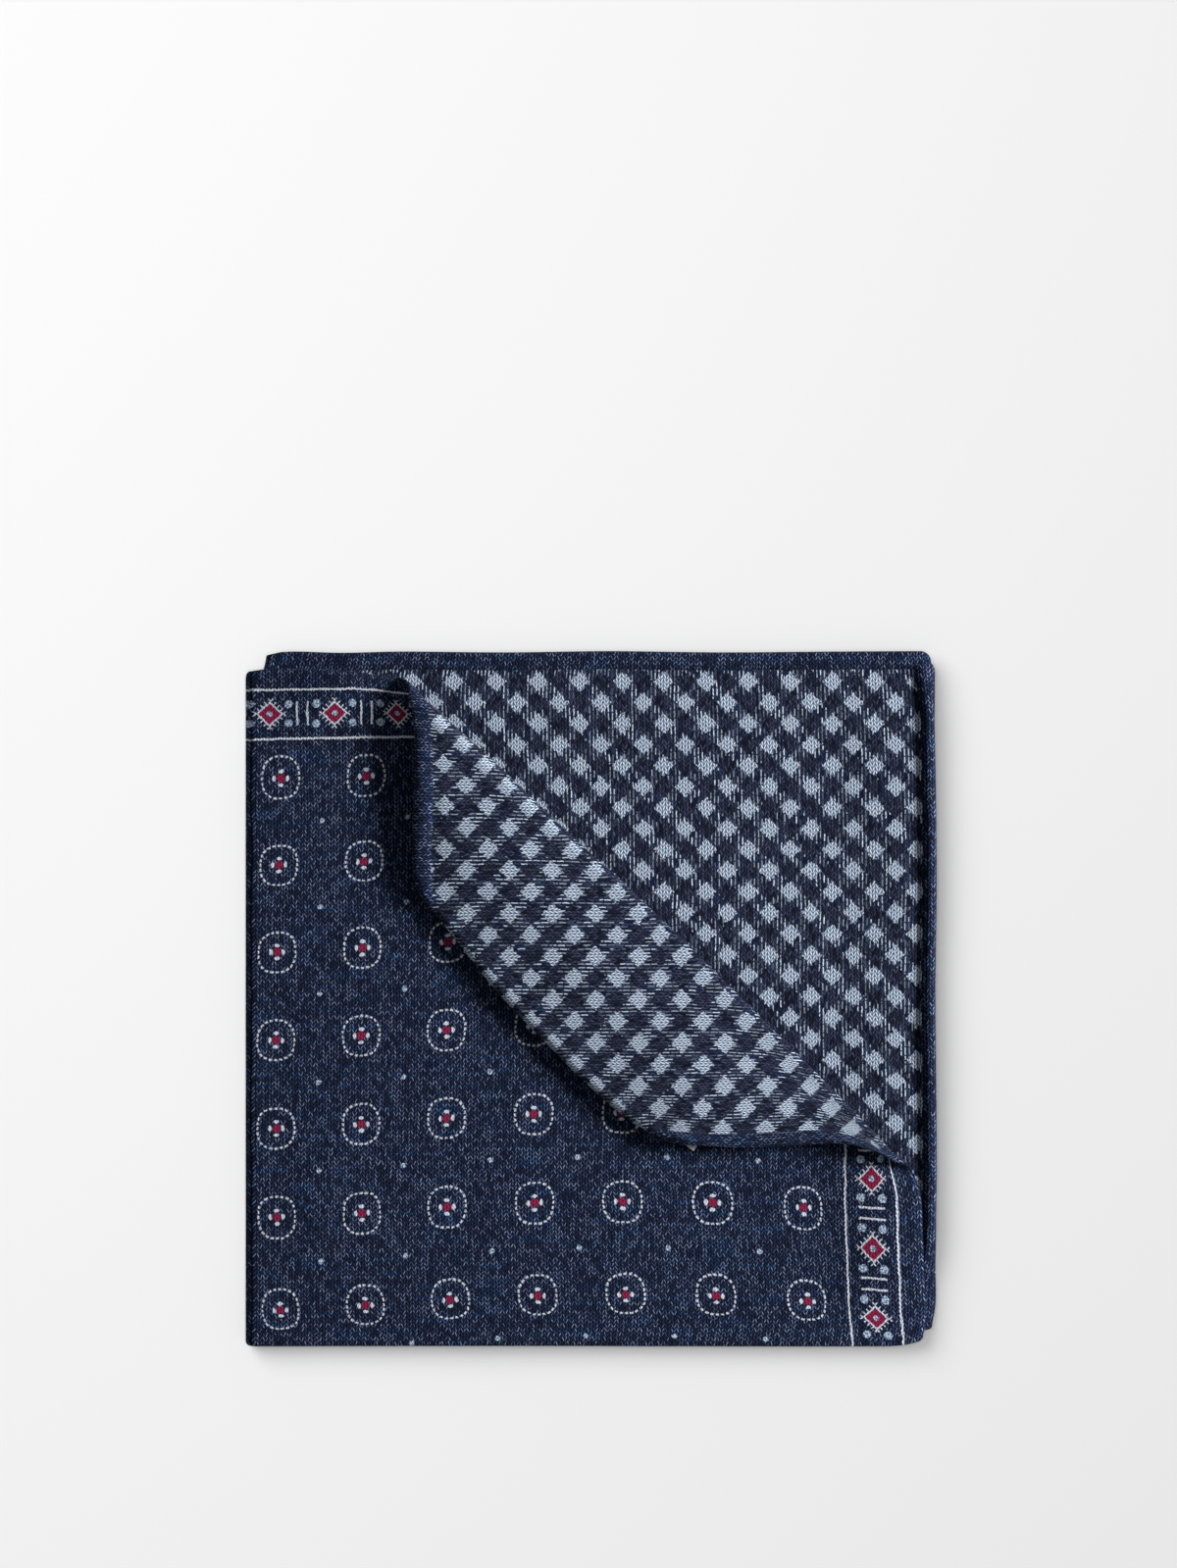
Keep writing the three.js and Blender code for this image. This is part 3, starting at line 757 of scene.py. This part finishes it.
# %% [markdown]
# ## The label's end
# A woven label is sewn to the gingham face, and one end of it peeps out from under the turned corner. Only a
# few millimetres show, so it is a short piece of thin tape: a grid, extruded to its thickness, its edges
# eased with a bevel, and its free end curled up a little, as stiff tape does.

# %% Label tape
LABEL = {"across": 107, "up": 51.3, "width": 6.4, "height": 5.4, "thick": 0.45, "turn": -40, "curl": 0.25}
LABEL_CELLS = (12, 10)
LABEL_CLEAR = 0.35
LABEL_RIM = 0.12
SHARP = 1
tape = bmesh.new()
bmesh.ops.create_grid(tape, x_segments=LABEL_CELLS[0], y_segments=LABEL_CELLS[1], size=0.5)
bmesh.ops.scale(tape, verts=tape.verts, vec=(LABEL["width"], LABEL["height"], 1))
raised = bmesh.ops.extrude_face_region(tape, geom=tape.faces[:], use_keep_orig=True)
raised_verts = [item for item in raised["geom"] if isinstance(item, bmesh.types.BMVert)]
bmesh.ops.translate(tape, verts=raised_verts, vec=(0, 0, LABEL["thick"]))
bmesh.ops.recalc_face_normals(tape, faces=tape.faces)
rim = [edge for edge in tape.edges if edge.calc_face_angle(0) > SHARP]
bmesh.ops.bevel(tape, geom=rim, offset=LABEL_RIM, affect="EDGES", segments=2, profile=0.5, material=-1)
tape_map = tape.loops.layers.uv.new("weave")
for face in tape.faces:
    face.smooth = True
    for loop in face.loops:
        loop[tape_map].uv = loop.vert.co.xy
for vert in tape.verts:
    vert.co.z += LABEL["curl"] * (vert.co.y / LABEL["height"] - 0.5) ** 2
label_height = TOP_MIDDLE + THICK / 2 + LABEL_CLEAR
turn = Matrix.Rotation(math.radians(LABEL["turn"]), 3, "Z")
for vert in tape.verts:
    vert.co = in_scene(*(turn @ vert.co + Vector((LABEL["across"], LABEL["up"], label_height))))
label_data = bpy.data.meshes.new("label")
tape.to_mesh(label_data)
tape.free()
label = bpy.data.objects.new("label", label_data)
bpy.context.scene.collection.objects.link(label)
print("label, mm:", [round(v / MM, 1) for v in label.dimensions])

# %% [markdown]
# ## Adding nodes
# Every material below is built from nodes. One function adds a node, sets what it is told to, links or fills
# its inputs, and gives back the output that the next node needs. Colours are written as on a colour card,
# in sRGB, and a second function turns them into the linear light that the shader reckons in.


# %% One function for every node, and one for colours
def add(kind, *inputs, out=0, **settings):
    node = tree.nodes.new("ShaderNode" + kind)
    for name, value in settings.items():
        setattr(node, name, value)
    named = inputs and isinstance(inputs[0], dict)
    for key, value in inputs[0].items() if named else enumerate(inputs):
        if isinstance(value, bpy.types.NodeSocket):
            tree.links.new(value, node.inputs[key])
        else:
            node.inputs[key].default_value = value
    return node.outputs[out]


def linear(hex_colour):
    parts = [int(hex_colour[i:i + 2], 16) / 255 for i in (1, 3, 5)]
    return (*[p / 12.92 if p <= 0.04045 else ((p + 0.055) / 1.055) ** 2.4 for p in parts], 1)


def new_material(name):
    material = bpy.data.materials.new(name)
    material.use_nodes = True
    material.node_tree.nodes.clear()
    return material, material.node_tree


def finish_material(shader):
    output = tree.nodes.new("ShaderNodeOutputMaterial")
    tree.links.new(shader, output.inputs["Surface"])


print("navy as linear light:", [round(v, 3) for v in linear("#1a2238")])


# %% Short names for the nodes that come up again and again
def reckon(operation, *values):
    return add("Math", *values, operation=operation)


def away_from(value, middle):
    return reckon("ABSOLUTE", reckon("SUBTRACT", value, middle))


def length_of(across, up):
    return add("VectorMath", add("CombineXYZ", across, up), operation="LENGTH", out="Value")


def sides_of(place):
    outputs = add("SeparateXYZ", place).node.outputs
    return outputs["X"], outputs["Y"]


def rising(value, start, end):
    return add("MapRange", {"Value": value, "From Min": start, "From Max": end})


def inside(distance, edge, soft=0.1):
    return add("MapRange", {"Value": distance, "From Min": edge + soft, "From Max": edge - soft},
               interpolation_type="SMOOTHSTEP")


def repeated(value, first, pitch):
    wrapped = reckon("WRAP", value, first + pitch / 2, first - pitch / 2)
    return reckon("SUBTRACT", wrapped, first)


def noise_at(place, scale, detail, out="Fac"):
    settings = {"Vector": place, "Scale": scale, "Detail": detail}
    return add("TexNoise", settings, out=out, noise_dimensions="2D")


def blend(amount, first, second):
    first, second = [linear(end) if isinstance(end, str) else end for end in (first, second)]
    return add("Mix", {0: amount, 6: first, 7: second}, out=2, data_type="RGBA")


# %% [markdown]
# ## Stitches
# Seen close, this cloth is columns of short slanting stitches that lean left and right in turn. Each stitch
# is about 1 mm long and catches the light in its own way, which is painted as a tone of its own. Painted
# shade makes each stitch darker towards its ends and sides and nearly black in the gaps between the
# stitches. That mix of dark gaps and paler stitches is what makes the navy look deep, so both faces are
# built on it.
# No thread runs quite straight, so a little noise moves every place before anything is drawn there.

# %% Stitches of the weave, in columns that lean in turn
COLUMN = 0.72
STITCH = 1.06
STITCH_SLOPE = 1.8
STITCH_EDGE = 0.36
STITCH_SOFT = 0.14
STITCH_RISE = 0.00012
WEAVE_DRIFTS = [
    {"amount": 0.25, "spacing": 9},
    {"amount": 0.1, "spacing": 0.9},
]


def drifted(place, noise_place, amount, scale):
    drift = noise_at(noise_place, scale, 1, out="Color")
    moved = add("VectorMath", drift, (2 * amount,) * 3, (-amount,) * 3, operation="MULTIPLY_ADD")
    return add("VectorMath", place, moved, operation="ADD")


def wandering(place, drifts):
    for drift in drifts:
        place = drifted(place, place, drift["amount"], 1 / drift["spacing"])
    return place


def stitches(place):
    across, up = sides_of(place)
    lean = reckon("PINGPONG", across, COLUMN)
    run = reckon("DIVIDE", reckon("MULTIPLY_ADD", lean, STITCH_SLOPE, up), STITCH)
    in_column = reckon("FLOOR", reckon("DIVIDE", across, COLUMN))
    in_row = reckon("FLOOR", run)
    own = add("TexWhiteNoise", {"Vector": add("CombineXYZ", in_column, in_row)}, noise_dimensions="2D")
    # The stitch's relief, 0 in the gaps and 1 at its middle: the bump's height, and painted shade wherever
    # colour follows it
    body = reckon("MULTIPLY", reckon("PINGPONG", run, 0.5), 2)
    within = inside(away_from(lean, COLUMN / 2), STITCH_EDGE * COLUMN, STITCH_SOFT * COLUMN)
    return reckon("MULTIPLY", body, within), own


def finish_cloth(colour, body):
    relief = add("Bump", {"Strength": 0.5, "Distance": STITCH_RISE, "Height": body})
    finish_material(add("BsdfPrincipled", {
        "Base Color": colour, "Roughness": 0.92, "Specular IOR Level": 0.06,
        "Sheen Weight": 0.02, "Sheen Roughness": 0.6, "Normal": relief,
    }))


# %% [markdown]
# ## The print face
# Navy twill, printed with rounds in rows, small dots between them, and a border of diamonds between two
# lines. The pattern is drawn as distances from the middle of each figure. Those distances wander a little
# too, so the edges are ragged, and the stitches cut notches into the border's thin lines. The faint bluer
# streaks are uneven threads that took more dye.

# %% Ground of the print face
PRINT_FINE = 2.6
OWN_LIGHT = {"spread": 1.1, "least": 0.42}
STREAK_STRETCH = (0.09, 0.75, 1)
STREAK_SHOWS = (0.5, 0.72)
LIGHT_STITCH = (0.05, 0.55)
PALE_STITCH = (0.4, 0.72)
navy, tree = new_material("navy_printed_twill")
place = wandering(add("UVMap", uv_map="weave"), WEAVE_DRIFTS)
body, own = stitches(place)
fine = noise_at(place, PRINT_FINE, 1)
# Lighter where the stitch rises and darker where it dips: painted shade of the stitch relief, times each
# stitch's own tone and a fine noise
uneven = reckon("MULTIPLY_ADD", own, OWN_LIGHT["spread"], OWN_LIGHT["least"])
stitch_tone_and_shade = reckon("MULTIPLY", reckon("MULTIPLY", body, uneven), fine)
stretched = add("VectorMath", place, STREAK_STRETCH, operation="MULTIPLY")
streak = rising(noise_at(stretched, 1, 2), *STREAK_SHOWS)
bluer = blend(streak, "#374368", "#315488")
# The ground runs from near black in the gaps (painted shade) through the bluer navy to a pale tone on the
# highest stitches (painted highlight)
ground = blend(rising(stitch_tone_and_shade, *LIGHT_STITCH), "#060a17", bluer)
ground = blend(rising(stitch_tone_and_shade, *PALE_STITCH), ground, "#7f8ca6")

# %% Figures of the print: where each point lies within its figure
FIELD_PITCH = 21
FIRST_ROUND = {"across": 7.5, "up": 9.5}
FIELD_END = 141
FIGURE_SOFT = 0.12
LINE_SOFT = 0.08
PRINT_DRIFTS = [
    {"amount": 0.2, "spacing": 0.8},
    {"amount": 0.25, "spacing": 6},
]
across, up = sides_of(wandering(add("UVMap", uv_map="print"), PRINT_DRIFTS))
from_across = reckon("ABSOLUTE", across)
from_up = reckon("ABSOLUTE", up)
outward = reckon("MAXIMUM", from_across, from_up)
in_field = inside(outward, FIELD_END)

# %% The ring of a round: short dashes, in a circle that is a little squared
RING = {"across": 4.5, "up": 4.75, "width": 0.44, "squareness": 2.5, "dashes": 24, "dash_share": 0.58}
RING_SOFT = 0.02
round_across = repeated(across, FIRST_ROUND["across"], FIELD_PITCH)
round_up = repeated(up, FIRST_ROUND["up"], FIELD_PITCH)
side_across = reckon("ABSOLUTE", round_across)
side_up = reckon("ABSOLUTE", round_up)
powers = [
    reckon("POWER", reckon("DIVIDE", side, RING[name]), RING["squareness"])
    for side, name in ((side_across, "across"), (side_up, "up"))
]
radius = reckon("POWER", reckon("ADD", *powers), 1 / RING["squareness"])
ring = inside(away_from(radius, 1), RING["width"] / 2 / RING["up"], RING_SOFT)
turn_round = reckon("ARCTAN2", round_up, round_across)
dash_run = reckon("MULTIPLY", turn_round, RING["dashes"] / (2 * math.pi))
dash = inside(reckon("PINGPONG", dash_run, 0.5), RING["dash_share"] / 2, LINE_SOFT)
ring = reckon("MULTIPLY", ring, dash)

# %% Within the ring: a red middle between four white petals
PETAL = {"out": 1.55, "long": 0.42, "wide": 0.66, "soft": 0.2}
CORE = {"reach": 0.95, "corners_cut": 0.25}
longer = reckon("MAXIMUM", side_across, side_up)
shorter = reckon("MINIMUM", side_across, side_up)
petal_run = reckon("DIVIDE", reckon("SUBTRACT", longer, PETAL["out"]), PETAL["long"])
petal_side = reckon("DIVIDE", shorter, PETAL["wide"])
petals = inside(length_of(petal_run, petal_side), 1, PETAL["soft"])
core_away = reckon("ADD", longer, reckon("MULTIPLY", shorter, CORE["corners_cut"]))
core = inside(core_away, CORE["reach"], FIGURE_SOFT)

# %% Small dots between the rounds
DOT_SIZE = 0.62
dot_across = repeated(across, FIRST_ROUND["across"] + FIELD_PITCH / 2, FIELD_PITCH)
dot_up = repeated(up, FIRST_ROUND["up"] + FIELD_PITCH / 2, FIELD_PITCH)
dots = inside(length_of(dot_across, dot_up), DOT_SIZE, FIGURE_SOFT)

# %% Border: two notched lines, and how far each point lies from the nearest diamond
BORDER = {"inner": 144.15, "outer": 156.5, "line": 0.34, "middle": 150.45, "pitch": 16}
FIRST_DIAMOND = {"top": 4.5, "side": 6.4}
NOTCH = 0.16
notch = reckon("MULTIPLY_ADD", body, -NOTCH, NOTCH)
lines = [
    inside(reckon("ADD", away_from(outward, BORDER[name]), notch), BORDER["line"], LINE_SOFT)
    for name in ("inner", "outer")
]
on_side = reckon("GREATER_THAN", from_across, from_up)
along = reckon("MINIMUM", from_across, from_up)
along = reckon("MULTIPLY_ADD", on_side, FIRST_DIAMOND["top"] - FIRST_DIAMOND["side"], along)
from_diamond = reckon("ABSOLUTE", repeated(along, FIRST_DIAMOND["top"], BORDER["pitch"]))
from_middle = away_from(outward, BORDER["middle"])

# %% Border: red diamonds with spiked outlines, dots at their corners, and bars between them
DIAMOND = {"red": 2.7, "outline": 3.2, "spikes": 4.4, "spike_pitch": 1.15, "spike": 0.13, "middle": 0.7}
BORDER_DOT = {"along": 4.5, "out": 2.5, "size": 0.98}
BARS = {"along": 6.7, "length": 3.1, "width": 0.23}
reach = reckon("ADD", from_diamond, from_middle)
diamond_red = inside(reach, DIAMOND["red"], FIGURE_SOFT)
diamond_outline = inside(reach, DIAMOND["outline"], FIGURE_SOFT)
diamond_middle = inside(length_of(from_diamond, from_middle), DIAMOND["middle"], FIGURE_SOFT)
along_edge = reckon("DIVIDE", reckon("SUBTRACT", from_diamond, from_middle), math.sqrt(2))
spike_run = reckon("PINGPONG", along_edge, DIAMOND["spike_pitch"] / 2)
spike = inside(spike_run, DIAMOND["spike"], LINE_SOFT)
spikes = reckon("MULTIPLY", spike, inside(reach, DIAMOND["spikes"]))
dot_along = reckon("SUBTRACT", from_diamond, BORDER_DOT["along"])
dot_out = reckon("SUBTRACT", from_middle, BORDER_DOT["out"])
border_dots = inside(length_of(dot_along, dot_out), BORDER_DOT["size"], FIGURE_SOFT)
bar = inside(away_from(from_diamond, BARS["along"]), BARS["width"], LINE_SOFT)
bars = reckon("MULTIPLY", bar, inside(from_middle, BARS["length"]))

# %% Lay the inks over the ground: white, pale blue and red
BLUE_SHOWS = (0.4, 0.58)
white_field = reckon("MULTIPLY", reckon("MAXIMUM", ring, petals), in_field)
white_border = reckon("MAXIMUM", reckon("MAXIMUM", spikes, diamond_outline), bars)
white = reckon("MAXIMUM", reckon("MAXIMUM", white_field, white_border), reckon("MAXIMUM", *lines))
blue = reckon("MAXIMUM", reckon("MULTIPLY", dots, in_field), border_dots)
red = reckon("MAXIMUM", reckon("MULTIPLY", core, in_field), diamond_red)
# The white and red inks are painted darker where the stitch dips: painted shade of the stitch relief, mixed
# with a fine noise of tone
thread_tone_and_shade = reckon("MULTIPLY", body, fine)
white_ink = blend(thread_tone_and_shade, "#b4bccd", "#ffffff")
blue_ink = blend(rising(fine, *BLUE_SHOWS), "#45597c", "#b9cbdd")
red_ink = blend(thread_tone_and_shade, "#5c1230", "#cc3a64")
colour = ground
for where, ink in ((white, white_ink), (blue, blue_ink), (red, red_ink), (diamond_middle, blue_ink)):
    colour = blend(where, colour, ink)
finish_cloth(colour, body)
cloth_data.materials.append(navy)
print("nodes of the print face:", len(tree.nodes))

# %% [markdown]
# ## The gingham face
# Pale and navy threads run in equal stripes both ways. Where two pale stripes cross there is a pale diamond,
# where two dark ones cross it is nearly black, and a pale stripe over a dark one shows as fine white dashes
# in rows, fainter one way than the other. The dashes follow the threads of the cloth, while the check runs
# on the bias to them.

# %% Stripes of the check
STRIPE = 1.72
STRIPE_SOFT = 0.14
FAINTER = 0.5
GINGHAM_FINE = 2.4
RAGGED = {"amount": 0.65, "scale": 1.3}
gingham, tree = new_material("bias_gingham")
weave = add("UVMap", uv_map="weave")
place = wandering(weave, WEAVE_DRIFTS)
body, own = stitches(place)
fine = noise_at(place, GINGHAM_FINE, 1)
check = drifted(add("UVMap", uv_map="gingham"), weave, RAGGED["amount"], RAGGED["scale"])
stripes = [
    inside(reckon("ABSOLUTE", repeated(side, 0, CHECK)), STRIPE, STRIPE_SOFT)
    for side in sides_of(check)
]
both = reckon("MULTIPLY", *stripes)
either = reckon("MAXIMUM", stripes[0], reckon("MULTIPLY", stripes[1], FAINTER))

# %% Rows of fine white dashes
DASH = {"row": 0.93, "length": 2, "shift": 9, "half_width": 0.13, "half_length": 0.42, "soft": 0.07}
DASH_SHOWS = (0.15, 0.75)
across, up = sides_of(place)
rows = reckon("DIVIDE", across, DASH["row"])
row = reckon("FLOOR", rows)
row_own = add("TexWhiteNoise", {"W": row}, noise_dimensions="1D")
run = reckon("ADD", reckon("DIVIDE", up, DASH["length"]), reckon("MULTIPLY", row_own, DASH["shift"]))
dash_place = add("CombineXYZ", row, reckon("FLOOR", run))
dash_own = add("TexWhiteNoise", {"Vector": dash_place}, noise_dimensions="2D")
beside = reckon("SUBTRACT", 0.5, reckon("PINGPONG", rows, 0.5))
beyond = reckon("SUBTRACT", 0.5, reckon("PINGPONG", run, 0.5))
within_row = inside(beside, DASH["half_width"], DASH["soft"])
dashes = reckon("MULTIPLY", within_row, inside(beyond, DASH["half_length"], DASH["soft"]))
dashes = reckon("MULTIPLY", dashes, rising(dash_own, *DASH_SHOWS))

# %% Colours of the gingham
PALE_THREAD = (0, 0.36)
# The stitch relief darkens every colour of the gingham in the gaps between stitches: painted shade, mixed
# with each stitch's own tone and a fine noise
thread_tone_and_shade = reckon("MULTIPLY", body, fine)
dull_tone_and_shade = reckon("MULTIPLY", thread_tone_and_shade, own)
dark = blend(dull_tone_and_shade, "#0a0d1c", "#646e92")
mixed = blend(dashes, blend(dull_tone_and_shade, "#0c1124", "#506894"), "#c6d3e2")
pale = blend(rising(thread_tone_and_shade, *PALE_THREAD), "#1e3356", "#cddbea")
colour = blend(both, blend(either, dark, mixed), pale)
finish_cloth(colour, body)
cloth_data.materials.append(gingham)
print("nodes of the gingham face:", len(tree.nodes))

# %% [markdown]
# ## Label and table
# The label is white woven satin tape: smooth, with a soft gloss and fine ribs across. The table is matt
# white board, so pale that only shade shows on it.

# %% Label tape's material, with ribs about 0.23 mm apart
RIB_SCALE = 1.364185
RIB_RISE = 0.00005
satin, tree = new_material("white_satin_tape")
ribs = add("TexWave", {"Vector": add("UVMap", uv_map="weave"), "Scale": RIB_SCALE, "Distortion": 0.4},
           out="Fac", bands_direction="Y")
relief = add("Bump", {"Strength": 0.3, "Distance": RIB_RISE, "Height": ribs})
# The tape is painted darker in the troughs between its ribs: painted shade of the ribs' relief
colour = blend(ribs, "#cfd2da", "#f2f2f4")
finish_material(add("BsdfPrincipled", {"Base Color": colour, "Roughness": 0.45, "Normal": relief}))
label_data.materials.append(satin)

# %% Table material
board, tree = new_material("matt_white_board")
matt = {"Base Color": linear("#f6f6f6"), "Roughness": 0.9, "Specular IOR Level": 0.1}
finish_material(add("BsdfPrincipled", matt))
table_data.materials.append(board)

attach(cloth, "root")
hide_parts("pocket_square")
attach(label, "root")
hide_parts("label_tab")
shine_on(lamps["window"], cloth, label)
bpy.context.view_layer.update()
